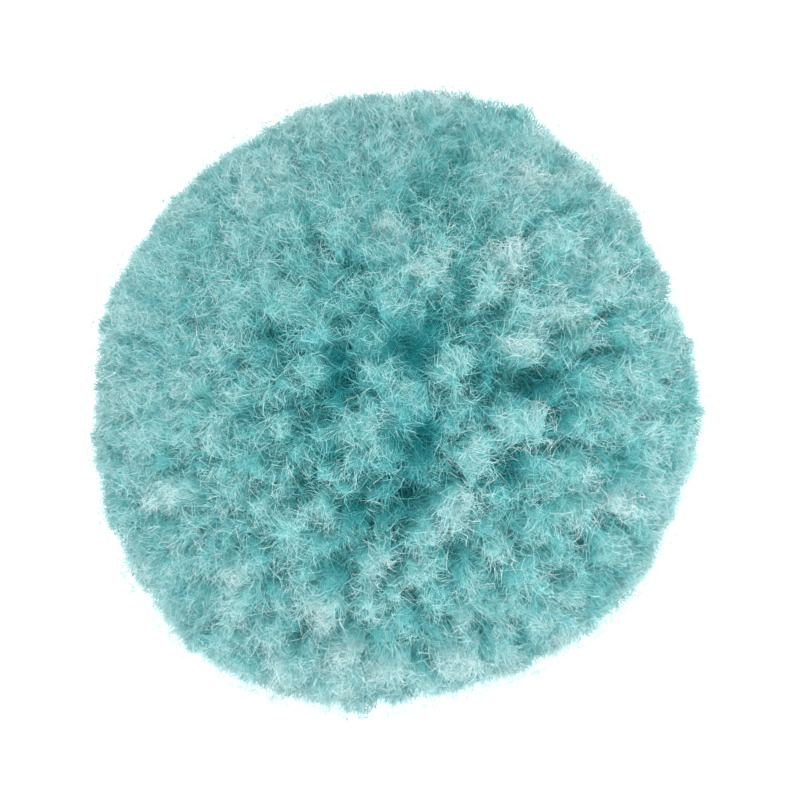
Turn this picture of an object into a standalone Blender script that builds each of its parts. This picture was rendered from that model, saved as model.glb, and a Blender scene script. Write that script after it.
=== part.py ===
"""A yarn pom pom: a ball of cut yarn ends, standing on the small flat spot under it.

Yarn is wound, tied tight round the middle and cut, so that its ends fan out on every side and
cling together in soft locks. Here each lock is a four-sided spike that widens with the ball and
closes in a blunt end. The locks stand apart from one another down to their roots, and the roots
are bound into one round heart. The locks underneath are shorter, and their ends lie level.

Units are metres. The origin is on the floor, under the middle of the ball, and +Z is up.
"""

import math
import random
from collections import namedtuple

import bmesh
import bpy
from mathutils import Vector, noise

# Driving sizes of the ball.
BALL_RADIUS = 0.040
HEART_RADIUS = 0.023
FLAT_SPOT_RADIUS = 0.013
MIDDLE_HEIGHT = math.sqrt(BALL_RADIUS**2 - FLAT_SPOT_RADIUS**2)
MIDDLE = Vector((0, 0, MIDDLE_HEIGHT))
DOWN = Vector((0, 0, -1))

# The locks lie on a cube's six sides blown up to a ball, in 7 rows of 7 on each side.
LOCKS_PER_ROW = 7
LOCK_ANGLE = math.radians(90) / LOCKS_PER_ROW

# A lock from its root to its end: how far out each ring of four corners lies, as a share of the
# lock's length, and how wide it is, as a share of the room that the lock has at that height.
Ring = namedtuple("Ring", "reach width")
LOCK_RINGS = (
    Ring(reach=0.00, width=0.86),
    Ring(reach=0.50, width=0.90),
    Ring(reach=0.84, width=0.82),
    Ring(reach=1.00, width=0.50),
)
CROWN_HEIGHT = 0.0007

# What keeps the locks from looking ranked: each corner's stray, the broad drift of the rows, the
# bend of the ends to one side, and the uneven trim of the ends.
CORNER_STRAY = 0.20 * LOCK_ANGLE
ROW_DRIFT = 0.08
ROW_DRIFT_DETAIL = 2.2
END_BEND = 0.07
END_BEND_DETAIL = 1.2
UNEVEN_TRIM = 0.0008
SHUFFLE_SEED = 11
# The smooth noise of the drift and the bend has a seed of its own, and this one gives this ball.
NOISE_SEED = 1795478339

# Under the ball nothing strays. The locks within the first angle stand on the floor, and the
# stray grows from none to full between the two angles.
STANDING_ANGLE = math.radians(22)
CALM_ANGLE = math.radians(14)
LIVELY_ANGLE = math.radians(40)
FLOOR_CLEARANCE = 0.0004

# Where the hand trim left the ball fuller or leaner than round. Angles are in degrees.
Swell = namedtuple("Swell", "longitude latitude height spread")
SWELLS = (
    Swell(longitude=-147, latitude=-43, height=0.0020, spread=26),
    Swell(longitude=62, latitude=57, height=0.0011, spread=22),
    Swell(longitude=-65, latitude=-57, height=-0.0021, spread=19),
    Swell(longitude=180, latitude=0, height=-0.0012, spread=15),
    Swell(longitude=153, latitude=38, height=-0.0007, spread=28),
    Swell(longitude=-19, latitude=-30, height=0.0006, spread=16),
    Swell(longitude=10, latitude=17, height=-0.0008, spread=14),
)

# The finish of the yarn.
YARN_COLOR = (0.150, 0.402, 0.407, 1.0)
YARN_ROUGHNESS = 0.9


def clear_scene():
    """Empty the scene, so that only the pom pom is in it."""
    for item in list(bpy.data.objects):
        bpy.data.objects.remove(item, do_unlink=True)


def pointing(longitude, latitude):
    """The direction at a longitude and a latitude in degrees."""
    turn = math.radians(longitude)
    rise = math.radians(latitude)
    return Vector((math.cos(rise) * math.cos(turn), math.cos(rise) * math.sin(turn), math.sin(rise)))


def trimmed_radius(direction):
    """How far the yarn reaches from the middle in this direction, before the uneven trim."""
    radius = BALL_RADIUS
    for swell in SWELLS:
        away = direction.angle(pointing(swell.longitude, swell.latitude))
        radius += swell.height * math.exp(-((away / math.radians(swell.spread)) ** 2))
    return radius


def floor_radius(direction):
    """How far the floor is from the middle in this direction, or endless above the middle."""
    return MIDDLE_HEIGHT / -direction.z if direction.z < 0 else math.inf


def liveliness(direction):
    """From 0 straight under the ball to 1 everywhere else: how freely the locks stray."""
    share = (direction.angle(DOWN) - CALM_ANGLE) / (LIVELY_ANGLE - CALM_ANGLE)
    share = min(max(share, 0.0), 1.0)
    return share * share * (3 - 2 * share)


def blow_up(corner):
    """The direction on the ball of a point on the cube, with even angles along each side."""
    return Vector([math.tan(value * math.pi / 4) for value in corner]).normalized()


def strayed(direction, shuffle):
    """The same direction with its drift and its own stray."""
    drift = ROW_DRIFT * noise.noise_vector(direction * ROW_DRIFT_DETAIL)
    stray = Vector([shuffle.uniform(-CORNER_STRAY, CORNER_STRAY) for _ in range(3)])
    return (direction + liveliness(direction) * (drift + stray)).normalized()


def ring_directions(corners, ring):
    """The four directions of one ring of the lock that grows between these corners."""
    centre = sum(corners, Vector()).normalized()
    bend = END_BEND * liveliness(centre) * noise.noise_vector(centre * END_BEND_DETAIL)
    centre_here = centre + ring.reach**2 * bend
    return [(centre_here + ring.width * (corner - centre)).normalized() for corner in corners]


def lock_points(corners, shuffle):
    """The rings of a lock from its root to its end, and the crown point that closes it."""
    centre = sum(corners, Vector()).normalized()
    uneven = shuffle.uniform(-UNEVEN_TRIM, UNEVEN_TRIM)
    ends = ring_directions(corners, LOCK_RINGS[-1])
    if centre.angle(DOWN) < STANDING_ANGLE:
        end_radii = [floor_radius(direction) for direction in ends]
        crown_height = 0
    else:
        clear = min(floor_radius(direction) for direction in ends) - FLOOR_CLEARANCE
        end_radii = [min(trimmed_radius(centre) + uneven, clear) - CROWN_HEIGHT] * len(ends)
        crown_height = CROWN_HEIGHT
    rings = []
    for ring in LOCK_RINGS:
        points = []
        for direction, end_radius in zip(ring_directions(corners, ring), end_radii):
            radius = HEART_RADIUS + ring.reach * (end_radius - HEART_RADIUS)
            points.append(MIDDLE + radius * direction)
        rings.append(points)
    crown = sum(rings[-1], Vector()) / len(ends)
    return rings, crown + crown_height * centre


def ball_of_locks():
    """The heart with a lock on each of its cells, as one closed mesh."""
    shuffle = random.Random(SHUFFLE_SEED)
    noise.seed_set(NOISE_SEED)
    ball = bmesh.new()
    bmesh.ops.create_cube(ball, size=2)
    bmesh.ops.subdivide_edges(ball, edges=ball.edges, cuts=LOCKS_PER_ROW - 1, use_grid_fill=True)
    directions = {corner: strayed(blow_up(corner.co), shuffle) for corner in ball.verts}
    for corner, direction in directions.items():
        corner.co = MIDDLE + HEART_RADIUS * direction
    cells = list(ball.faces)
    for cell in cells:
        rings, crown = lock_points([directions[corner] for corner in cell.verts], shuffle)
        below = list(cell.verts)
        for points in rings:
            above = [ball.verts.new(point) for point in points]
            for k in range(4):
                ball.faces.new((below[k - 1], below[k], above[k], above[k - 1]))
            below = above
        tip = ball.verts.new(crown)
        for k in range(4):
            ball.faces.new((below[k - 1], below[k], tip))
    bmesh.ops.delete(ball, geom=cells, context="FACES_ONLY")
    bmesh.ops.recalc_face_normals(ball, faces=ball.faces)
    mesh = bpy.data.meshes.new("pompom")
    ball.to_mesh(mesh)
    ball.free()
    return mesh


def yarn_material():
    """Soft, dull yarn in one even colour."""
    material = bpy.data.materials.new("yarn")
    material.use_nodes = True
    surface = material.node_tree.nodes["Principled BSDF"]
    surface.inputs["Base Color"].default_value = YARN_COLOR
    surface.inputs["Roughness"].default_value = YARN_ROUGHNESS
    surface.inputs["Metallic"].default_value = 0.0
    return material


def make_pompom():
    """The pom pom as one object, with its origin on the floor."""
    mesh = ball_of_locks()
    mesh.materials.append(yarn_material())
    pompom = bpy.data.objects.new("pompom", mesh)
    bpy.context.scene.collection.objects.link(pompom)
    return pompom


clear_scene()
make_pompom()
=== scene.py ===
# %% [markdown]
# # A yarn pom pom
#
# A pom pom is one length of yarn wound round a former, tied tight at the middle and cut. The cut
# ends spring out into a ball, and brushing opens each end into a soft tuft of fine hairs. From a
# step away we see a ball of tufts with deep colour in the gaps. From close by we see hairs.
#
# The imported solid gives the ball's place and size. Over it we lay one soft mass with a low dome
# for each tuft. Four coats of hairs grow from the mass: curled hairs that fill out the tufts,
# short fuzz that fills the gaps, a pale halo at the skin, and a few long loose hairs.

import math

import bmesh
import bpy
import numpy as np
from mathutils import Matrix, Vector, noise


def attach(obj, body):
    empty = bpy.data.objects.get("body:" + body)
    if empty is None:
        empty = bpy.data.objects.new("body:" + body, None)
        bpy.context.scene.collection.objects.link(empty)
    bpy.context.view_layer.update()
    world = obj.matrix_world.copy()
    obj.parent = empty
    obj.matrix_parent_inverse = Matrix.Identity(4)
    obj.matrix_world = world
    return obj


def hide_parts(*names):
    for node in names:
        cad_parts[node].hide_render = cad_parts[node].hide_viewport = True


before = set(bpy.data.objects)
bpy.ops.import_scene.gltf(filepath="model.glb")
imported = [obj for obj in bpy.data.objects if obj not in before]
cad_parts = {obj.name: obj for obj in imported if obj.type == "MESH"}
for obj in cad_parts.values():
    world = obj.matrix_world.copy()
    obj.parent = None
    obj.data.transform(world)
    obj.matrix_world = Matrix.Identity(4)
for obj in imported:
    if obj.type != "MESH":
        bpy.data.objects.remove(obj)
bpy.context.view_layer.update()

# %% [markdown]
# ## The ball's own measures
#
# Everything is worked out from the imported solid. It stands on a small flat spot, so its middle is
# not half-way up. We could take the middle of its box, but one lock that strays would shift it. A
# sphere that fits the outermost points best, by least squares, is steadier.

# %% Find the middle of the ball
FLOOR_BAND = 0.004
OUTER_PERCENT = 75
FIT_ROUNDS = 6
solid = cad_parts["pompom"]
solid_points = np.array([vertex.co[:] for vertex in solid.data.vertices])


def sphere_through(points):
    """The middle and radius of the sphere that fits these points best."""
    table = np.column_stack([2 * points, np.ones(len(points))])
    answer = np.linalg.lstsq(table, (points**2).sum(1), rcond=None)[0]
    return answer[:3], math.sqrt(answer[3] + (answer[:3] ** 2).sum())


middle, radius = solid_points.mean(0), 0.0
for _ in range(FIT_ROUNDS):
    reach = np.linalg.norm(solid_points - middle, axis=1)
    outer = (reach > np.percentile(reach, OUTER_PERCENT)) & (solid_points[:, 2] > FLOOR_BAND)
    middle, radius = sphere_through(solid_points[outer])
middle[:2] = 0
lock_ends = solid_points[outer] - middle
lock_reach = np.linalg.norm(lock_ends, axis=1)
print(f"middle {1000 * middle[2]:.1f} mm up, radius {1000 * radius:.1f} mm, {outer.sum()} end points")

# %% [markdown]
# ## The trimmed outline
#
# Scissors leave the ball a little fuller here and flatter there, down to the width of one tuft.
# The solid's locks are wider than that, so they give only the broad swells. We could move whole
# tufts, but the outline shows how far the skin reaches and not which tuft reaches there. So the
# small swells are a short table of soft bumps and dips, and the table walks round the outline as
# the camera sees it.

# %% Write down the trim
CAMERA_ELEVATION = math.radians(30)
PICTURE_RIGHT = np.array([1.0, 0.0, 0.0])
PICTURE_UP = np.array([0.0, math.sin(CAMERA_ELEVATION), math.cos(CAMERA_ELEVATION)])
PICTURE_NEAR = np.array([0.0, -math.cos(CAMERA_ELEVATION), math.sin(CAMERA_ELEVATION)])
# Degrees from the outline's right-hand side, upwards first, and millimetres further out.
OUTLINE_TRIM = [
    (0, 1.4), (20, -2.3), (40, 1.1), (69, 2.5), (88, 0.5), (107, 0.1), (131, 0.8), (162, 1.2),
    (200, -0.8), (234, 1.3), (250, -0.5), (268, -2.5), (290, -1.6), (310, -0.9), (326, 0.5), (351, 0.7),
]
TRIM_WIDTH = math.radians(9)


def bump(directions, aim, width):
    """1 where a direction is the aim, and softly less away from it."""
    return np.exp((directions @ aim - 1) / (0.5 * width**2))


def trim(directions):
    """How much further out the trimming left the skin, for each unit direction."""
    more = np.zeros(len(directions))
    for degrees, millimetres in OUTLINE_TRIM:
        turn = math.radians(degrees)
        aim = math.cos(turn) * PICTURE_RIGHT + math.sin(turn) * PICTURE_UP
        more += 0.001 * millimetres * bump(directions, aim, TRIM_WIDTH)
    return more


print(len(OUTLINE_TRIM), "places where the trim differs")

# %% [markdown]
# ## The skin
#
# The skin is the surface that the tufts' ends reach. The ends of the solid's locks already lie on
# it, but with gaps between them. We could stretch a sheet over them, as a shrink wrap does, and it
# would show every lock. A soft average of the lock ends near by gives a skin without corners. It
# can be asked for its radius in any direction, which the mass and the hairs both need.

# %% Measure the skin in any direction
SKIN_BLUR = math.radians(8)
SKIN_STEP = 0.0004
PRESSED = 0.0008
NEVER_LEVEL = 1e-3


def skin_radius(directions):
    """How far the ball's skin is from its middle, for each unit direction."""
    along = directions @ (lock_ends / lock_reach[:, None]).T
    near = np.exp((along - 1) / (0.5 * SKIN_BLUR**2) + (lock_reach - radius) / SKIN_STEP)
    round_skin = (near * lock_reach).sum(1) / near.sum(1)
    steep = np.maximum(-directions[:, 2], NEVER_LEVEL)
    to_floor = np.where(directions[:, 2] < 0, middle[2] / steep, 1.0)
    return np.minimum(round_skin + trim(directions), to_floor + PRESSED)


sample = skin_radius(np.array([[1.0, 0, 0], [0, 1.0, 0], [0, 0, 1.0], [0, 0, -1.0]]))
print("skin at +X, +Y, +Z, -Z in mm:", np.round(1000 * sample, 1))

# %% [markdown]
# ## Camera
#
# We look slightly down on the ball with a long lens, as a product photographer does, so that the
# flat spot is out of sight and the ball stays round. The lens and the share of the picture that
# the ball fills give the camera's distance.

# %% Place the camera
LENS_MM = 100.0
SENSOR_MM = 36.0
PICTURE_PIXELS = 800
BALL_RADIUS_PIXELS = 313.2
BALL_CENTRE_PIXELS = (394.2, 401.9)
OUTLINE_RADIUS = 0.0400

focal_pixels = PICTURE_PIXELS * LENS_MM / SENSOR_MM
camera_distance = OUTLINE_RADIUS / math.sin(math.atan(BALL_RADIUS_PIXELS / focal_pixels))
pixel_size = camera_distance / focal_pixels
slide_right = (PICTURE_PIXELS / 2 - BALL_CENTRE_PIXELS[0]) * pixel_size
slide_up = (BALL_CENTRE_PIXELS[1] - PICTURE_PIXELS / 2) * pixel_size
camera = bpy.data.objects.new("camera", bpy.data.cameras.new("camera"))
bpy.context.scene.collection.objects.link(camera)
camera.data.lens = LENS_MM
camera.data.sensor_width = SENSOR_MM
camera.data.clip_start = 0.01
camera.rotation_euler = (math.pi / 2 - CAMERA_ELEVATION, 0, 0)
camera.location = Vector(
    middle + camera_distance * PICTURE_NEAR + slide_right * PICTURE_RIGHT + slide_up * PICTURE_UP
)
bpy.context.scene.camera = camera
print(f"camera {1000 * camera_distance:.0f} mm from the middle, {1000 * pixel_size:.3f} mm a pixel")

# %% [markdown]
# ## Node trees as Python expressions
#
# A node tree reads best as arithmetic. `Wire` wraps one output socket and adds a Math or a Vector
# Math node for each operator. `Nodes` adds any other node by its type, its settings and the
# values or links of its sockets. Both kinds of tree, geometry and shader, use them.


# %% Wires and nodes
class Wire:
    """An output socket that can be added, multiplied and so on."""

    def __init__(self, nodes, socket):
        self.nodes = nodes
        self.socket = socket

    def maths(self, operation, first, second):
        pair = (first, second)
        vectors = [isinstance(one, Wire) and one.socket.type == "VECTOR" for one in pair]
        if not any(vectors):
            return self.nodes.maths(operation, first, second)
        if all(vectors):
            return self.nodes.vector(operation, first, second)["Vector"]
        if operation != "MULTIPLY":
            raise TypeError("a vector and a number can only be multiplied")
        vector, number = pair if vectors[0] else reversed(pair)
        sockets = {0: vector, "Scale": number}
        return self.nodes.add("ShaderNodeVectorMath", {"operation": "SCALE"}, sockets)["Vector"]

    def __add__(self, other):
        return self.maths("ADD", self, other)

    __radd__ = __add__

    def __sub__(self, other):
        return self.maths("SUBTRACT", self, other)

    def __rsub__(self, other):
        return self.maths("SUBTRACT", other, self)

    def __mul__(self, other):
        return self.maths("MULTIPLY", self, other)

    __rmul__ = __mul__

    def __truediv__(self, other):
        return self.maths("DIVIDE", self, other)

    def __pow__(self, other):
        return self.maths("POWER", self, other)


class Nodes:
    """A node tree that is written as expressions."""

    def __init__(self, tree):
        self.tree = tree

    def add(self, kind, settings=None, sockets=None):
        """Add a node: its settings first, then its sockets by name or by number."""
        node = self.tree.nodes.new(kind)
        for name, value in (settings or {}).items():
            setattr(node, name, value)
        shown = [socket for socket in node.inputs if socket.enabled]
        for name, value in (sockets or {}).items():
            socket = shown[name] if isinstance(name, int) else next(s for s in shown if s.name == name)
            if isinstance(value, Wire):
                self.tree.links.new(value.socket, socket)
            else:
                socket.default_value = value
        return {s.name: Wire(self, s) for s in reversed(node.outputs) if s.enabled}

    def maths(self, operation, *numbers):
        """One Math node on one or two numbers."""
        return self.add("ShaderNodeMath", {"operation": operation}, dict(enumerate(numbers)))["Value"]

    def vector(self, operation, *vectors):
        """One Vector Math node, with all its outputs."""
        return self.add("ShaderNodeVectorMath", {"operation": operation}, dict(enumerate(vectors)))

    def unit(self, vector):
        return self.vector("NORMALIZE", vector)["Vector"]

    def length(self, vector):
        return self.vector("LENGTH", vector)["Value"]

    def less(self, first, second):
        """The first vector less the second, where one of them is plain numbers."""
        return self.vector("SUBTRACT", first, second)["Vector"]

    def across(self, first, second):
        return self.vector("CROSS_PRODUCT", first, second)["Vector"]

    def share(self, first, second):
        """How far the first vector reaches along the second."""
        return self.vector("DOT_PRODUCT", first, second)["Value"]

    def upright_to(self, vector, other):
        """The part of a vector that is square to a unit vector, made one long."""
        return self.unit(vector - other * self.share(vector, other))

    def between(self, value, low, high):
        """The value, held between two limits."""
        return self.maths("MINIMUM", self.maths("MAXIMUM", value, low), high)

    def ease(self, value, start, end):
        """0 before start, 1 after end, and smooth between."""
        sockets = {"Value": value, "From Min": start, "From Max": end}
        return self.add("ShaderNodeMapRange", {"interpolation_type": "SMOOTHSTEP"}, sockets)["Result"]

    def parts(self, vector):
        """The X, Y and Z of a vector."""
        return self.add("ShaderNodeSeparateXYZ", None, {0: vector})

    def joined(self, **parts):
        """A vector from its X, Y and Z."""
        return self.add("ShaderNodeCombineXYZ", None, parts)["Vector"]


print("wires and nodes are ready")

# %% [markdown]
# ## Geometry trees
#
# Hairs are thousands of copies of one strip, each with its own place and bend. A loop in Python
# could make them, but slowly, and its numbers would be buried. Geometry Nodes are quick and have
# named inputs. A `ShapeTree` is such a tree. It grows a plain mesh from another mesh, and the same
# tree makes each coat with other values for its inputs.


# %% Shape trees
class ShapeTree(Nodes):
    """A Geometry Nodes tree with named inputs, run on a mesh and turned into a plain mesh."""

    def __init__(self, name, inputs):
        super().__init__(bpy.data.node_groups.new(name, "GeometryNodeTree"))
        sides = self.tree.interface
        sides.new_socket("Geometry", in_out="INPUT", socket_type="NodeSocketGeometry")
        for label, value in inputs.items():
            kind = "NodeSocketInt" if isinstance(value, int) else "NodeSocketFloat"
            sides.new_socket(label, in_out="INPUT", socket_type=kind).default_value = value
        sides.new_socket("Geometry", in_out="OUTPUT", socket_type="NodeSocketGeometry")
        self.inputs = self.add("NodeGroupInput")

    def here(self):
        """The place of each point."""
        return self.add("GeometryNodeInputPosition")["Position"]

    def number(self, name):
        """The number of this name that is stored on each point."""
        settings = {"data_type": "FLOAT"}
        return self.add("GeometryNodeInputNamedAttribute", settings, {"Name": name})["Attribute"]

    def arrow(self, name):
        """The vector of this name that is stored on each point."""
        settings = {"data_type": "FLOAT_VECTOR"}
        return self.add("GeometryNodeInputNamedAttribute", settings, {"Name": name})["Attribute"]

    def store(self, geometry, name, value, data_type="FLOAT", domain="POINT"):
        settings = {"data_type": data_type, "domain": domain}
        sockets = {"Geometry": geometry, "Name": name, "Value": value}
        return self.add("GeometryNodeStoreNamedAttribute", settings, sockets)["Geometry"]

    def store_arrow(self, geometry, name, value):
        return self.store(geometry, name, value, "FLOAT_VECTOR")

    def move(self, geometry, place):
        """The same geometry with each point at a new place."""
        sockets = {"Geometry": geometry, "Position": place}
        return self.add("GeometryNodeSetPosition", None, sockets)["Geometry"]

    def chance(self, low, high, number):
        """An even random number for each point, or a vector where low and high are vectors."""
        data_type = "FLOAT_VECTOR" if isinstance(low, tuple) else "FLOAT"
        sockets = {"Min": low, "Max": high, "Seed": self.inputs["Seed"] + number}
        return self.add("FunctionNodeRandomValue", {"data_type": data_type}, sockets)["Value"]

    def finish(self, geometry, material):
        """End the tree in plain, coloured geometry."""
        realized = self.add("GeometryNodeRealizeInstances", None, {"Geometry": geometry})["Geometry"]
        sockets = {"Geometry": realized, "Material": material}
        coloured = self.add("GeometryNodeSetMaterial", None, sockets)["Geometry"]
        self.add("NodeGroupOutput", None, {"Geometry": coloured})

    def grow(self, name, mesh, **changed):
        """A new object with the plain mesh that the tree makes from this mesh."""
        holder = bpy.data.objects.new(name, mesh)
        bpy.context.scene.collection.objects.link(holder)
        modifier = holder.modifiers.new(name, "NODES")
        modifier.node_group = self.tree
        for item in self.tree.interface.items_tree:
            if item.in_out == "INPUT" and item.name in changed:
                modifier[item.identifier] = changed[item.name]
        graph = bpy.context.evaluated_depsgraph_get()
        made = bpy.data.meshes.new_from_object(holder.evaluated_get(graph), depsgraph=graph)
        holder.modifiers.remove(modifier)
        bpy.data.objects.remove(holder)
        made.name = name
        piece = bpy.data.objects.new(name, made)
        bpy.context.scene.collection.objects.link(piece)
        return piece


print("shape trees are ready")

# %% [markdown]
# ## The yarn's colour, with painted shade and light
#
# One dyed yarn, yet it shows many tones. Light that gets down between the tufts bounces from hair
# to hair and takes up more dye each time, so the gaps are deep teal. At the cut ends the hairs lie
# open and scatter the light back at once, so they look pale. A render of so few hairs can't find
# that by itself, so we paint it into the colour: painted shade, a deep colour far below the skin,
# and painted light, a pale one at it. Each tuft and each hair also has a tone of its own. Both are
# read from the piece's own map: its height is the nearness to the skin, and its width is the tone.

# %% Name the yarn's colours, with its painted shade and painted light
# The deep colour is painted shade in the gaps, and the pale and tip colours are painted light.
DEEP_PAINTED_SHADE = (0.008, 0.195, 0.208, 1)
BODY = (0.118, 0.440, 0.446, 1)
PALE_PAINTED_LIGHT = (0.425, 0.570, 0.564, 1)
TIPS_PAINTED_LIGHT = (0.530, 0.595, 0.588, 1)
DEPTH_POWER = 1.5
DEPTH_SHARE = 0.68
TONE_SHARE = 0.48
LIGHTER = 0.06
# The levels between which one colour gives way to the next.
DEEP_TO_BODY = (0.10, 0.55)
LOW_TO_HIGH = (0.42, 0.94)
PALE_TO_TIPS = (0.74, 1.22)
SHEEN_TINT = (1.0, 0.98, 0.98, 1)
SHEEN_ROUGHNESS = 0.5
UV_NAME = "OFBake"


def mixed(nodes, share, first, second, blend="MIX"):
    """The first colour where the share is 0, the second where it is 1."""
    settings = {"data_type": "RGBA", "blend_type": blend}
    sockets = {"Factor": share, "A": first, "B": second}
    return nodes.add("ShaderNodeMix", settings, sockets)["Result"]


def yarn_colour_with_painted_shade(nodes):
    """The yarn's colour for the tone, with painted shade deep below the skin and painted light near it.
    """
    place = nodes.parts(nodes.add("ShaderNodeUVMap", {"uv_map": UV_NAME})["UV"])
    tone, near_skin = place["X"], place["Y"]
    # Deep below the skin the level falls to painted shade, and near the skin it rises to painted light.
    level = near_skin**DEPTH_POWER * DEPTH_SHARE + tone * TONE_SHARE + LIGHTER
    low = mixed(nodes, nodes.ease(level, *DEEP_TO_BODY), DEEP_PAINTED_SHADE, BODY)
    high = mixed(nodes, nodes.ease(level, *PALE_TO_TIPS), PALE_PAINTED_LIGHT, TIPS_PAINTED_LIGHT)
    return mixed(nodes, nodes.ease(level, *LOW_TO_HIGH), low, high)


print("the gaps are", DEEP_PAINTED_SHADE[:3], "and the tips", TIPS_PAINTED_LIGHT[:3])

# %% [markdown]
# ## The finish of the yarn
#
# Brushed yarn has no gloss to speak of, but each hair has a faint sheen. So the hairs get a little
# sheen and gloss. The mass under them gets no sheen and hardly any gloss, or its gaps would look
# grey. The mass also stands for thousands of hairs that we don't build, so it has fine fibres in
# its colour and a little bump. They are noise that reads only the direction from the ball's
# middle. On a tuft's top it makes spots, and down its sides it draws out into lines, just as
# standing hairs do.

# %% Make the yarn materials
FIBRE_GRAINS = (170.0, 420.0)
FIBRE_LEVELS = (0.36, 0.64)
DARK_FIBRE = (0.62, 0.70, 0.70, 1)
LIGHT_FIBRE = (1.38, 1.28, 1.27, 1)
FIBRE_BUMP = {"Strength": 0.6, "Distance": 0.0004}


def standing_fibres(nodes, grain):
    """Noise that is the same all the way out from the ball's middle."""
    spot = nodes.add("ShaderNodeTexCoord")["Object"]
    outward = nodes.unit(nodes.less(spot, tuple(middle)))
    sockets = {"Vector": outward, "Scale": grain, "Detail": 2.0, "Roughness": 0.6, "Distortion": 1.5}
    return nodes.add("ShaderNodeTexNoise", None, sockets)["Fac"]


def yarn_material(name, sheen, gloss, roughness, felted=False):
    """Soft yarn in its own tones. Felted yarn also has fibres in its colour and bump."""
    material = bpy.data.materials.new(name)
    material.use_nodes = True
    material.node_tree.nodes.clear()
    nodes = Nodes(material.node_tree)
    colour = yarn_colour_with_painted_shade(nodes)
    finish = {"Roughness": roughness, "Specular IOR Level": gloss, "Sheen Weight": sheen}
    finish.update({"Sheen Roughness": SHEEN_ROUGHNESS, "Sheen Tint": SHEEN_TINT})
    if felted:
        coarse, fine = [0.5 * standing_fibres(nodes, grain) for grain in FIBRE_GRAINS]
        fibres = coarse + fine
        shade = mixed(nodes, nodes.ease(fibres, *FIBRE_LEVELS), DARK_FIBRE, LIGHT_FIBRE)
        colour = mixed(nodes, 1.0, colour, shade, "MULTIPLY")
        bump_node = nodes.add("ShaderNodeBump", None, {**FIBRE_BUMP, "Height": fibres})
        finish["Normal"] = bump_node["Normal"]
    surface = nodes.add("ShaderNodeBsdfPrincipled", None, {"Base Color": colour, **finish})
    nodes.add("ShaderNodeOutputMaterial", None, {"Surface": surface["BSDF"]})
    return material


mass_yarn = yarn_material("yarn_mass", sheen=0.0, gloss=0.08, roughness=0.8, felted=True)
hair_yarn = yarn_material("yarn_hairs", sheen=0.08, gloss=0.25, roughness=0.5)
print("materials:", mass_yarn.name, "and", hair_yarn.name)

# %% [markdown]
# ## Where the yarn ends stand
#
# The cut ends push each other apart until they share the ball evenly, yet not in rows. We do the
# same: points start at random on a ball and push their neighbours away for a few rounds. Two
# tables come first. The ends that catch the eye, because they stand a little proud and pale, have
# their places named and stay there. At the partings, where the ball falls open, there is no end at
# all: their points push the others away and then leave a gap.

# %% Name the pale ends and the partings
# Each place is given on a clock face that is laid over the ball as the camera sees it: the hour,
# then the angle away from the middle of the face in degrees. Last comes how pale the end is.
PALE_ENDS = [
    (2.3, 26, 1.0), (2.1, 36, 0.9), (1.3, 34, 0.9), (1.3, 26, 0.7), (0.6, 25, 0.8), (1.9, 12, 0.5),
    (3.2, 24, 0.8), (4.2, 17, 0.7), (5.1, 23, 0.8), (6.3, 29, 0.7), (6.6, 42, 0.9), (7.7, 7, 0.5),
    (8.2, 43, 0.7), (12.0, 31, 0.7),
]
# The same, and last how wide the gap is, as a share of the ends' spacing.
PARTINGS = [
    (0.6, 10, 0.9), (2.8, 23, 0.9), (4.0, 23, 0.8), (5.7, 18, 0.8), (6.6, 32, 0.8), (6.3, 45, 0.7),
    (0.3, 41, 0.7), (5.2, 8, 0.7), (9.7, 9, 0.6), (2.5, 43, 0.6), (1.9, 40, 0.6), (10.0, 23, 0.5),
]


def on_the_clock(hour, degrees_away):
    """The unit direction at an hour of the clock face and an angle away from its middle."""
    turn, away = math.radians(30 * hour), math.radians(degrees_away)
    across = math.sin(turn) * PICTURE_RIGHT + math.cos(turn) * PICTURE_UP
    return math.cos(away) * PICTURE_NEAR + math.sin(away) * across


pale_aims = np.array([on_the_clock(*row[:2]) for row in PALE_ENDS])
pale = np.array([row[2] for row in PALE_ENDS])
parting_aims = np.array([on_the_clock(*row[:2]) for row in PARTINGS])
gap_sizes = np.array([row[2] for row in PARTINGS])
print(len(PALE_ENDS), "pale ends and", len(PARTINGS), "partings")

# %% Spread the ends over the ball
END_COUNT = 700
END_SEED = 5
PUSH_ROUNDS = 7
ELBOW_ROOM = 1.25
PUSH = 0.25
GAP_PUSH = 0.6
SPACING = math.sqrt(4 * math.pi / END_COUNT)
chance = np.random.default_rng(END_SEED)


def unit_rows(rows):
    return rows / np.linalg.norm(rows, axis=1)[:, None]


def spread_over_ball(fixed, gaps, count):
    """Unit directions, evenly but irregularly spread round the fixed ones and clear of the gaps."""
    aims = np.vstack([fixed, unit_rows(chance.normal(size=(count - len(fixed), 3)))])
    gap_reach = (0.45 + 0.55 * gap_sizes) * SPACING
    for _ in range(PUSH_ROUNDS):
        apart = aims[:, None, :] - aims[None, :, :]
        between = np.linalg.norm(apart, axis=2) + np.eye(count) * 9
        push = np.clip(ELBOW_ROOM * SPACING - between, 0, None) / between
        shift = PUSH * (apart * push[:, :, None]).sum(1)
        from_gap = aims[:, None, :] - gaps[None, :, :]
        between = np.linalg.norm(from_gap, axis=2)
        push = np.clip(gap_reach - between, 0, None) / between
        shift += GAP_PUSH * (from_gap * push[:, :, None]).sum(1)
        shift[: len(fixed)] = 0
        aims = unit_rows(aims + shift)
    return aims


end_aims = spread_over_ball(pale_aims, parting_aims, END_COUNT)
print(f"{END_COUNT} ends, {1000 * radius * SPACING:.1f} mm apart")
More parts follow.
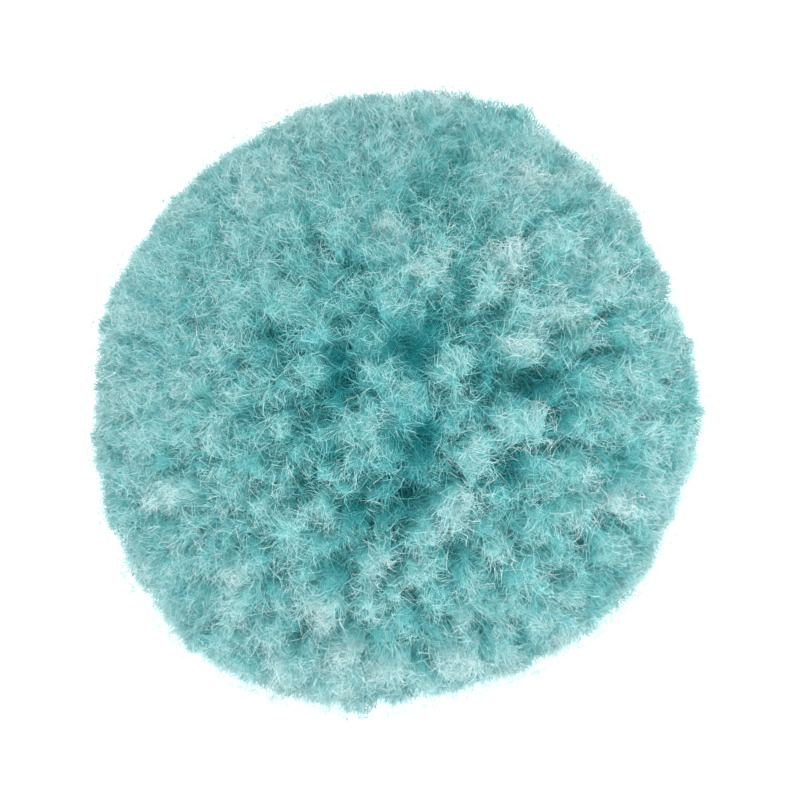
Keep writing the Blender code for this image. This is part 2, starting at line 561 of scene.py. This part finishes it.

# %% [markdown]
# ## What each end is like
#
# No two ends are cut or brushed alike. Each gets a size, a height, a lean and a tone by chance. Two
# sides of the ball differ. On its calm side the tufts lie close, so heights and tones vary less, and
# the tones there are a little darker with painted shade. The side towards the camera has opened
# under its own weight, with deeper creases: we see down between the tufts, and we paint its tones
# darker there as painted shade. Near the partings the tones are darker with painted shade too.

# %% Give each end its size, height, lean and tone
CALM_SIDE = unit_rows(np.array([[-0.75, -0.25, 0.65]]))[0]
OPEN_SIDE = unit_rows(np.array([[0.08, -0.87, 0.50]]))[0]
OPEN_WIDTH = math.radians(36)
UNEVEN_HEIGHT = 0.00045
PALE_HEIGHT = 0.0007
LEAN = 0.15
MEAN_TONE = 0.62
UNEVEN_TONE = 0.16
CALM_SIDE_PAINTED_SHADE = 0.12
OPEN_SIDE_PAINTED_SHADE = 0.58
PARTING_PAINTED_SHADE = 0.15
PARTING_REACH = 0.8

end_size = chance.uniform(0.85, 1.15, END_COUNT)
calm = np.clip(end_aims @ CALM_SIDE, 0, 1)
lively = 1.0 - 0.6 * calm**2
end_height = lively * chance.normal(0, UNEVEN_HEIGHT, END_COUNT)
lean = unit_rows(end_aims + LEAN * chance.normal(size=(END_COUNT, 3)))
# The calm side's tones are lowered a little: painted shade on that side.
tone = MEAN_TONE + UNEVEN_TONE * lively * chance.normal(size=END_COUNT) - CALM_SIDE_PAINTED_SHADE * calm
end_height[: len(pale)] = PALE_HEIGHT * pale
end_size[: len(pale)] = 1.0 + 0.15 * pale
tone[: len(pale)] = 0.55 + 0.5 * pale
nearness = np.linalg.norm(end_aims[:, None, :] - parting_aims[None, :, :], axis=2) / SPACING
# Painted shade: darker tones on the side towards the camera.
tone -= OPEN_SIDE_PAINTED_SHADE * bump(end_aims, OPEN_SIDE, OPEN_WIDTH)
# Painted shade: darker tones near the partings, where the ball falls open.
tone -= PARTING_PAINTED_SHADE * (gap_sizes * np.exp(-((nearness / PARTING_REACH) ** 2))).max(1)
tone = np.clip(tone, 0.03, 0.97)
print(f"tones from {tone.min():.2f} to {tone.max():.2f}, heights within {1000 * end_height.std():.1f} mm")

# %% [markdown]
# ## The tufted mass
#
# Behind the loose hairs the yarn is one soft mass with a dome for each end and a crease between
# neighbours. We could set hundreds of separate domes side by side, but they look like beads. One
# skin that rises and falls has softer creases, and we can say how deep each of them is. Every
# point asks which two ends are nearest. Half-way between them it sinks, and over an end it rises.
# A cube that is cut into a grid and blown up gives a ball of even faces without poles.

# %% Ask the ends for the relief
WANDER = 0.42
WANDER_GRAIN = 22.0
BLEND_WIDTH = 0.22
BATCH = 3000
# Without a seed this noise starts from the clock, and no two runs give the same ball.
NOISE_SEED = 3
noise.seed_set(NOISE_SEED)


def wander(directions, grain):
    """A smooth random vector for each direction, the same at every run."""
    return np.array([noise.noise_vector(Vector(row) * grain)[:] for row in directions])


def blend_of_ends(directions):
    """How near a crease each direction is, the ends' height, tone and lean, and the way home."""
    strayed = unit_rows(directions + WANDER * SPACING * wander(directions, WANDER_GRAIN))
    apart = np.sqrt(np.clip(2 - 2 * strayed @ end_aims.T, 1e-9, None)) / SPACING / end_size
    nearest = np.partition(apart, 1, axis=1)[:, :2]
    home = (end_aims[apart.argmin(1)] - strayed) / SPACING
    edge = nearest[:, 1] - nearest[:, 0]
    weight = np.exp(-(apart**2 - nearest[:, :1] ** 2) / (2 * BLEND_WIDTH**2))
    weight /= weight.sum(1)[:, None]
    return edge, weight @ end_height, weight @ tone, unit_rows(weight @ lean), home


def depth_of_parting(directions):
    """How deep the ball has fallen open in each direction, as a share of the deepest."""
    apart = np.linalg.norm(directions[:, None, :] - parting_aims[None, :, :], axis=2) / SPACING
    return (gap_sizes * np.exp(-((apart / (0.28 + 0.22 * gap_sizes)) ** 2))).max(1)


def in_batches(rule, directions):
    """The rule's answers for many directions, a few thousand at a time to spare memory."""
    starts = range(0, len(directions), BATCH)
    parts = [rule(directions[start : start + BATCH]) for start in starts]
    if isinstance(parts[0], tuple):
        return [np.concatenate(column) for column in zip(*parts)]
    return np.concatenate(parts)


print("relief rules are ready")

# %% Work out the mass
BALL_GRID = 90
MASS_BELOW_SKIN = 0.0024
CREASE_DEPTH = 0.0032
CREASE_WIDTH = 0.25
CALM_CREASES = 0.65
OPEN_CREASES = 0.20
UNEVEN_CREASES = 1.2
PARTING_DEPTH = 0.0034
GRAIN_HEIGHT = 0.0003
FLOOR_GAP = 0.0002


def even_ball(grid):
    """A round mesh of nearly square faces: a cube, cut into a grid and blown up."""
    shape = bmesh.new()
    bmesh.ops.create_cube(shape, size=2.0)
    bmesh.ops.subdivide_edges(shape, edges=shape.edges[:], cuts=grid - 1, use_grid_fill=True)
    for vertex in shape.verts:
        vertex.co = Vector([math.tan(value * math.pi / 4) for value in vertex.co]).normalized()
    mesh = bpy.data.meshes.new("tufted_mass")
    shape.to_mesh(mesh)
    shape.free()
    return mesh


def crease_depths(ways, edge):
    """How deep the creases cut in each direction, which is not the same all over the ball."""
    calm = 1.0 - CALM_CREASES * np.clip(ways @ CALM_SIDE, 0, 1) ** 2
    open_up = 1.0 + OPEN_CREASES * bump(ways, OPEN_SIDE, OPEN_WIDTH)
    uneven = np.clip(1.0 + UNEVEN_CREASES * wander(ways, 5.0)[:, 0], 0.3, 1.8)
    return np.exp(-((edge / CREASE_WIDTH) ** 2)) * CREASE_DEPTH * calm * open_up * uneven


def give(mesh, name, values):
    """Store one value a point, a number or a vector, under a name."""
    kind, field = ("FLOAT", "value") if values.ndim == 1 else ("FLOAT_VECTOR", "vector")
    flat = values.astype(np.float32).ravel()
    mesh.attributes.new(name, kind, "POINT").data.foreach_set(field, flat)


def make_mass():
    """The soft mass of the ball as one closed mesh, with the ends' values on its points."""
    mass = bpy.data.objects.new("tufted_mass", even_ball(BALL_GRID))
    bpy.context.scene.collection.objects.link(mass)
    ways = np.array([vertex.co[:] for vertex in mass.data.vertices])
    skin = in_batches(skin_radius, ways)
    edge, rise, tones, leans, home = in_batches(blend_of_ends, ways)
    grain = wander(ways, 28.0)[:, 1] + 0.6 * wander(ways, 55.0)[:, 2]
    parting = PARTING_DEPTH * in_batches(depth_of_parting, ways)
    reach = skin - MASS_BELOW_SKIN + rise - crease_depths(ways, edge) - parting + GRAIN_HEIGHT * grain
    points = middle + ways * reach[:, None]
    points[:, 2] = np.maximum(points[:, 2], 2 * FLOOR_GAP)
    mass.data.vertices.foreach_set("co", points.astype(np.float32).ravel())
    mass.data.shade_smooth()
    mass.data.materials.append(mass_yarn)
    for name, values in (("aim", leans), ("home", home), ("tone", tones), ("skin", skin)):
        give(mass.data, name, values)
    return mass, skin - np.linalg.norm(points - middle, axis=1), tones


tufted_mass, mass_depth, mass_tone = make_mass()
print("mass:", 2 * len(tufted_mass.data.polygons), "triangles")
print("depth in mm:", np.round(1000 * np.percentile(mass_depth, [1, 25, 50, 75, 99]), 1))

# %% [markdown]
# ## The mass's map
#
# The yarn's colour is read from a map, so the mass needs one. We could unwrap it, but there is no
# picture to lay on it. Each face gets one small square of the map instead: its tone says how far
# across the square lies, and each corner's depth says how far up, which sets its painted shade.

# %% Map the mass by tone and depth
# Over this depth below the skin the colour goes from painted light to painted shade.
COLOUR_DEPTH = 0.0050
TILE = 0.012
TILE_CORNERS = TILE * np.array([[0, 0], [1, 0], [1, 1], [0, 1]])


def map_by_depth(mesh, tones, depths):
    """A map whose width is the tone and whose height is the nearness to the skin, for painted shade."""
    corners = np.array([loop.vertex_index for loop in mesh.loops])
    turns = np.tile(TILE_CORNERS, (len(mesh.polygons), 1))
    middles = np.repeat(tones[corners].reshape(-1, 4).mean(1), 4)
    near = np.clip(1 - depths / COLOUR_DEPTH, 0, 1)[corners]
    spots = np.column_stack([0.03 + 0.92 * middles, 0.03 + 0.92 * near]) + turns
    mesh.uv_layers.new(name=UV_NAME).data.foreach_set("uv", spots.astype(np.float32).ravel())


map_by_depth(tufted_mass.data, mass_tone, mass_depth)
print("mapped", len(tufted_mass.data.polygons), "faces")

# %% [markdown]
# ## The brushed hairs
#
# Brushing pulls the yarn's hairs out of their twist, and each keeps some of its curl: it leaves
# the tuft at a slant, bends over and crosses its neighbours. So each hair is an arc. Blender has
# curves for hair, but the export wants plain faces, and a round tube costs six times the faces of
# a ribbon. We use narrow ribbons that taper to a point and turn at random, so that some always
# face us. First come the roots. On each root we store the arc's start, its way, its bend and its
# width. Neighbouring hairs lean together in wisps, which a noise of the place gives them.

# %% Name the inputs of the hairs
DEGREE = math.pi / 180
hair_inputs = {
    "Roots per square metre": 2.35e6,
    "Lengths": 2,
    "Thickness": 0.000072,
    "Shortest": 0.0016,
    "Longest": 0.0038,
    "Least rise": 52 * DEGREE,
    "Most rise": 90 * DEGREE,
    "Least turn": 0.3,
    "Most turn": 1.4,
    "Towards the end": 3.0,
    "Gathered": 0.5,
    "Wisps per metre": 500.0,
    "Wisp lean": 2.2,
    "Wisp curl": 4.0,
    "Wisp tone": 0.8,
    "Palest": 1.0,
    "Darkest": 0.0,
    "Bare below": -0.1,
    "Full above": 0.5,
    "Lifted": 0.0,
    "Out to the skin": 0.0,
    "Sway": 1.0,
    "Held to the skin": 0.75,
    "Seed": 1,
}
t = ShapeTree("brushed_hairs", hair_inputs)
given = t.inputs


def near_skin():
    """1 on the ball's skin, 0 deep in a gap."""
    reach = t.length(t.less(t.here(), tuple(middle)))
    return t.between(1.0 - (t.number("skin") - reach) / COLOUR_DEPTH, 0.0, 1.0)


def any_way(number):
    """A random vector of its own for each root."""
    return t.chance((-1.0, -1.0, -1.0), (1.0, 1.0, 1.0), number)


print(len(hair_inputs), "inputs")

# %% Scatter the roots
BARE_AT_FLOOR = (0.0006, 0.0030)
height = t.parts(t.here())["Z"]
fullness = t.ease(height, *BARE_AT_FLOOR) * t.ease(near_skin(), given["Bare below"], given["Full above"])
density = given["Roots per square metre"] * fullness
scatter = t.add(
    "GeometryNodeDistributePointsOnFaces",
    {"distribute_method": "RANDOM"},
    {"Mesh": given["Geometry"], "Density": density, "Seed": given["Seed"]},
)
roots = scatter["Points"]
print("roots stay away from the lowest", 1000 * BARE_AT_FLOOR[0], "mm")

# %% Give each root its way and its bend
up = t.unit(scatter["Normal"] + t.arrow("aim") * given["Towards the end"])
slant = t.upright_to(any_way(11), up)
rise = t.chance(given["Least rise"], given["Most rise"], 12)
wisp_place = {"Vector": t.here(), "Scale": given["Wisps per metre"], "Detail": 1.0}
wisp = t.add("ShaderNodeTexNoise", None, wisp_place)
wisp_way = t.less(wisp["Color"], (0.5, 0.5, 0.5)) * given["Wisp lean"]
together = t.arrow("home") * given["Gathered"] + wisp_way
way = t.unit(slant * t.maths("COSINE", rise) + up * t.maths("SINE", rise) + together)
roots = t.store_arrow(roots, "way", way)
roots = t.store_arrow(roots, "up", up)
curl = any_way(13) * given["Sway"] + wisp_way * given["Wisp curl"]
bend = t.upright_to(curl - t.arrow("up"), t.arrow("way"))
roots = t.store_arrow(roots, "bend", bend)
roots = t.store_arrow(roots, "facing", t.arrow("up") + any_way(14) * 0.7)
print("each root has a way, a bend and a side that it faces")

# %% Give each root its start, length, width and tone
OWN_TONE = 0.28
lift = t.arrow("aim") * (given["Lifted"] * t.chance(0.2, 1.0, 19))
outward = t.less(t.here(), tuple(middle))
to_skin = (t.number("skin") / t.length(outward) - 1.0) * given["Out to the skin"]
roots = t.store_arrow(roots, "root", t.here() + lift + outward * to_skin)
roots = t.store(roots, "long", t.chance(given["Shortest"], given["Longest"], 15))
roots = t.store(roots, "turn", t.chance(given["Least turn"], given["Most turn"], 16))
roots = t.store(roots, "wide", given["Thickness"] * t.chance(0.65, 1.35, 17))
own_tone = t.chance(given["Darkest"], given["Palest"], 18)
wisp_tone = (wisp["Fac"] - 0.5) * given["Wisp tone"]
hair_tone = (1 - OWN_TONE) * t.number("tone") + OWN_TONE * own_tone + wisp_tone
roots = t.store(roots, "tone", t.between(hair_tone, 0.0, 1.0))
print(f"{OWN_TONE:.0%} of a hair's tone is its own, and the rest its tuft's")

# %% [markdown]
# ## From roots to arcs
#
# Now each root gets a flat strip, one long and one wide. Half of every strip's shape is the same:
# `along` runs from 0 at the root to 1 at the tip, and `side` says how far a corner lies to one
# side. From these and the root's values we work out where each corner goes on the arc. Hairs that
# would stand out too far are pulled back towards the skin, as trimming and handling do.

# %% Make the strip and set it on the roots
WELD = 0.001
grid_size = {"Size X": 1.0, "Size Y": 1.0, "Vertices X": 2, "Vertices Y": given["Lengths"] + 1}
strip = t.add("GeometryNodeMeshGrid", None, grid_size)["Mesh"]
flat_spot = t.parts(t.here())
along = flat_spot["Y"] + 0.5
side = flat_spot["X"] * (1.0 - along) ** 0.5
strip = t.store(strip, "side", side)
strip = t.store(strip, "along", along)
strip = t.move(strip, t.joined(X=side, Y=along))
welded = t.add("GeometryNodeMergeByDistance", None, {"Geometry": strip, "Distance": WELD})["Geometry"]
copies = {"Points": roots, "Instance": welded}
hairs = t.add("GeometryNodeInstanceOnPoints", None, copies)["Instances"]
hairs = t.add("GeometryNodeRealizeInstances", None, {"Geometry": hairs})["Geometry"]
print("the strip's tip is welded to a point")

# %% Bend each strip into an arc
INSIDE_SKIN = 0.0007
along, side = t.number("along"), t.number("side")
way, bend = t.arrow("way"), t.arrow("bend")
angle = t.number("turn") * along
forward = way * t.maths("COSINE", angle) + bend * t.maths("SINE", angle)
broad = t.unit(t.across(forward, t.arrow("facing")))
arc_radius = t.number("long") / t.number("turn")
arc = (way * t.maths("SINE", angle) + bend * (1.0 - t.maths("COSINE", angle))) * arc_radius
place = t.arrow("root") + arc + broad * (side * t.number("wide"))
outward = t.less(place, tuple(middle))
reach = t.length(outward)
over = t.maths("MAXIMUM", reach - t.number("skin") + INSIDE_SKIN, 0.0) * given["Held to the skin"]
hairs = t.move(hairs, place - outward * (over / reach))
spot = t.parts(t.here())
hairs = t.move(hairs, t.joined(X=spot["X"], Y=spot["Y"], Z=t.maths("MAXIMUM", spot["Z"], FLOOR_GAP)))
print(f"hairs keep {1000 * FLOOR_GAP:.1f} mm off the floor")

# %% Map the hairs and end the tree
# A hair's map rises from root to tip and towards the skin, so roots take painted shade and tips painted
# light.
AT_THE_ROOT = 0.72
ALONG_THE_HAIR = 0.24
map_x = 0.02 + 0.95 * t.number("tone") + 0.002 * t.number("side")
map_y = 0.02 + near_skin() * (AT_THE_ROOT + ALONG_THE_HAIR * t.number("along"))
hairs = t.store(hairs, UV_NAME, t.joined(X=map_x, Y=map_y), "FLOAT2", "CORNER")
t.finish(t.add("GeometryNodeSetShadeSmooth", None, {"Geometry": hairs})["Geometry"], hair_yarn)
hair_pieces = []


def grow_hairs(name, seed, **changed):
    """One piece of hairs, with some of the tree's inputs changed."""
    piece = t.grow(name, tufted_mass.data, Seed=seed, **changed)
    hair_pieces.append(piece)
    piece.data.calc_loop_triangles()
    print(f"{name}: {len(piece.data.loop_triangles)} triangles")


print("the tree has", len(t.tree.nodes), "nodes")

# %% [markdown]
# ## The curled hairs
#
# These fill out the tufts. They start on the mass, lean the way that their tuft leans, gather a
# little towards its middle and curl over at the skin. One piece would have too many faces, so two
# pieces grow from the same tree with different seeds.

# %% Grow the curled hairs
for number in (1, 2):
    grow_hairs(f"curled_hairs_{number}", 100 * number)

# %% [markdown]
# ## The short fuzz
#
# Between the tufts the yarn isn't bare: shorter hairs stand there too, darker with the gaps' painted
# shade. They need no curl, because little of them shows, so each is a single triangle. They also
# soften the curled hairs.

# %% Grow the short fuzz
FUZZ = {
    "Lengths": 1,
    "Shortest": 0.0012,
    "Longest": 0.0026,
    "Thickness": 0.000075,
    "Least rise": 40 * DEGREE,
    "Darkest": 0.1,
    "Lifted": 0.0010,
    "Bare below": -0.8,
    "Full above": 0.2,
    "Held to the skin": 0.4,
    "Roots per square metre": 4.0e6,
}
for number in (1, 2):
    grow_hairs(f"short_fuzz_{number}", 1000 + 100 * number, **FUZZ)

# %% [markdown]
# ## The pale halo
#
# At the very skin the finest hairs lie this way and that in wisps, and a few stick out. They catch
# the light on the tufts and make the soft edge of the ball. Their roots are lifted from the mass
# to the skin, where some of the hairs lie flat and others stand up.

# %% Grow the pale halo
HALO = {
    "Wisp lean": 4.0,
    "Shortest": 0.0011,
    "Longest": 0.0030,
    "Thickness": 0.000044,
    "Least rise": -20 * DEGREE,
    "Most rise": 70 * DEGREE,
    "Most turn": 1.5,
    "Darkest": 0.1,
    "Bare below": 0.2,
    "Full above": 0.6,
    "Out to the skin": 1.0,
    "Held to the skin": 0.1,
    "Roots per square metre": 4.2e6,
}
# Lying at the skin, these hairs take the pale end of the painted light.
grow_hairs("pale_halo", 2000, **HALO)

# %% [markdown]
# ## The loose hairs
#
# Last come the hairs that brushing pulled free. They are long, lie nearly flat and cross several
# tufts and gaps. There are few of them, so each can have more lengths and bend further.

# %% Grow the loose hairs
LOOSE = {
    "Wisp lean": 3.0,
    "Lengths": 6,
    "Shortest": 0.003,
    "Longest": 0.007,
    "Thickness": 0.000044,
    "Least rise": 10 * DEGREE,
    "Most rise": 60 * DEGREE,
    "Most turn": 2.6,
    "Darkest": 0.1,
    "Palest": 1.1,
    "Bare below": -0.6,
    "Full above": 0.2,
    "Lifted": 0.0010,
    "Roots per square metre": 1.0e5,
}
grow_hairs("loose_hairs", 3000, **LOOSE)

# %% [markdown]
# ## Attach the pieces and hide the solid
#
# All the pieces ride on the one body. The tufted mass closes the ball on its own, so the solid is
# hidden and the hairs are added to the mass.

for piece in [tufted_mass, *hair_pieces]:
    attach(piece, "root")
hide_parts("pompom")
print(1 + len(hair_pieces), "pieces")

# %% [markdown]
# ## Floor
#
# The ball lies on a plain white table that fills the picture. Its surface shines a little of its
# own light, because a white table in a bright room is lit from all round, and no seam shows.

# %% Make the floor
FLOOR_HALF = 6.0
corners = [(x * FLOOR_HALF, y * FLOOR_HALF, 0) for x, y in ((-1, -1), (1, -1), (1, 1), (-1, 1))]
floor_mesh = bpy.data.meshes.new("floor")
floor_mesh.from_pydata(corners, [], [(0, 1, 2, 3)])
floor = bpy.data.objects.new("floor", floor_mesh)
bpy.context.scene.collection.objects.link(floor)
floor_material = bpy.data.materials.new("floor")
floor_material.use_nodes = True
floor_surface = floor_material.node_tree.nodes["Principled BSDF"]
floor_surface.inputs["Base Color"].default_value = (0.9, 0.9, 0.9, 1)
floor_surface.inputs["Roughness"].default_value = 0.9
floor_surface.inputs["Emission Color"].default_value = (0.92, 0.96, 1, 1)
floor_surface.inputs["Emission Strength"].default_value = 1.0
floor_mesh.materials.append(floor_material)
print("floor", 2 * FLOOR_HALF, "m wide")

# %% [markdown]
# ## Light
#
# Soft light from all round keeps the ball pale at its edge, and one large lamp above the camera
# shapes the tufts. A lamp on each side and a weak one behind keep the far tufts from going dull.

# %% Make the lights
ROOM_LIGHT = 0.85
world = bpy.data.worlds.new("room")
world.use_nodes = True
world.node_tree.nodes["Background"].inputs["Color"].default_value = (1, 1, 1, 1)
world.node_tree.nodes["Background"].inputs["Strength"].default_value = ROOM_LIGHT
bpy.context.scene.world = world


def add_lamp(name, place, size, watts):
    """A square soft lamp that faces the ball, this far from its middle."""
    lamp = bpy.data.objects.new(name, bpy.data.lights.new(name, "AREA"))
    bpy.context.scene.collection.objects.link(lamp)
    lamp.location = Vector(middle) + Vector(place)
    lamp.rotation_euler = Vector(place).to_track_quat("Z", "Y").to_euler()
    lamp.data.size = size
    lamp.data.energy = watts


add_lamp("key", (0.12, -0.50, 0.58), 0.45, 5.95)
add_lamp("left", (-0.60, 0.10, 0.20), 0.50, 1.8)
add_lamp("right", (0.60, 0.10, 0.20), 0.50, 1.8)
add_lamp("back", (0.0, 0.50, 0.55), 0.50, 0.4)
bpy.context.scene.view_settings.view_transform = "Standard"
